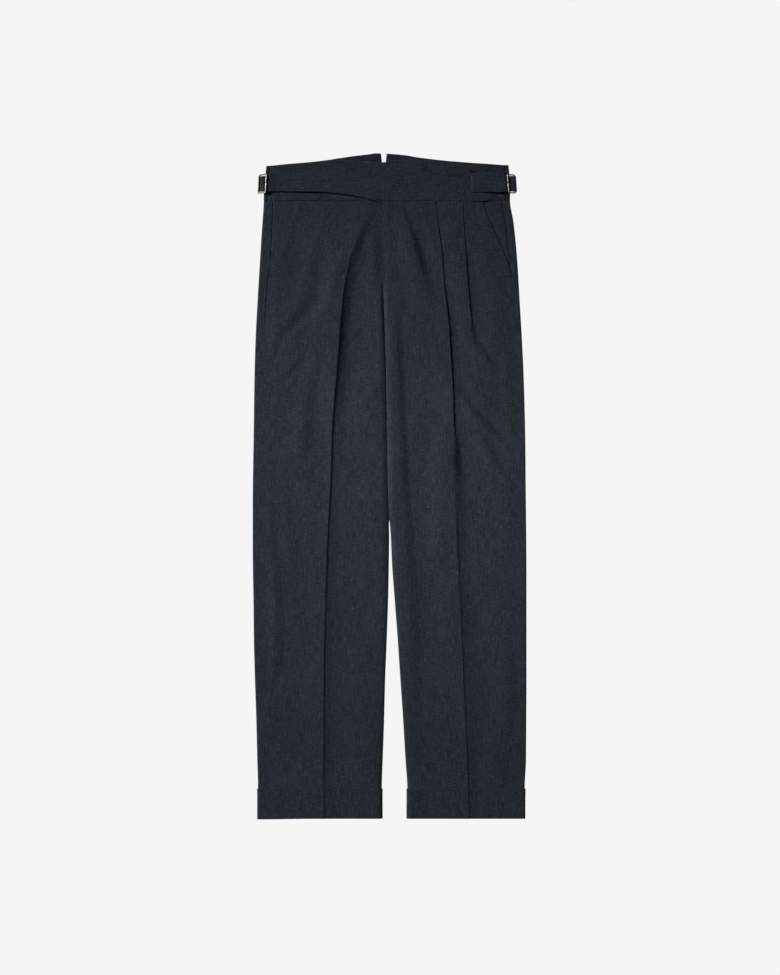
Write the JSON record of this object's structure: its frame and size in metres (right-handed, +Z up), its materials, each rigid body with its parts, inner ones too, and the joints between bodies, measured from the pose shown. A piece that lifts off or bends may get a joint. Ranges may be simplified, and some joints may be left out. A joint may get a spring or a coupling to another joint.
{
  "type": "gurkha trousers",
  "caption": "Pleated gurkha trousers with turn-ups, a wrap-over waistband and buckled side straps, laid flat front side up.",
  "frame": {"origin": "on the surface the trousers lie on, midway between their side edges and midway between the hems and the top of the waistband", "axes": "+Y along the legs towards the waist, +Z up out of the front of the trousers, +X towards the wearer's left leg"},
  "size_m": [0.452, 1.099, 0.0083],
  "materials": {
    "cloth": "matte slubby navy linen",
    "cloth_inside": "matte navy linen, the inner face of the waistband",
    "buckle": "polished pale champagne gold"
  },
  "bodies": {
    "root": {"front_panel_right": "cloth", "front_panel_left": "cloth", "back_panel_right": "cloth", "back_panel_left": "cloth", "pocket_facing_right": "cloth", "pocket_facing_left": "cloth", "turn_up_right": "cloth", "turn_up_left": "cloth", "back_waistband_right": "cloth_inside", "back_waistband_left": "cloth_inside", "front_waistband_right": "cloth", "front_waistband_left": "cloth", "buckle_right": "buckle", "buckle_left": "buckle"}
  },
  "joints": []
}
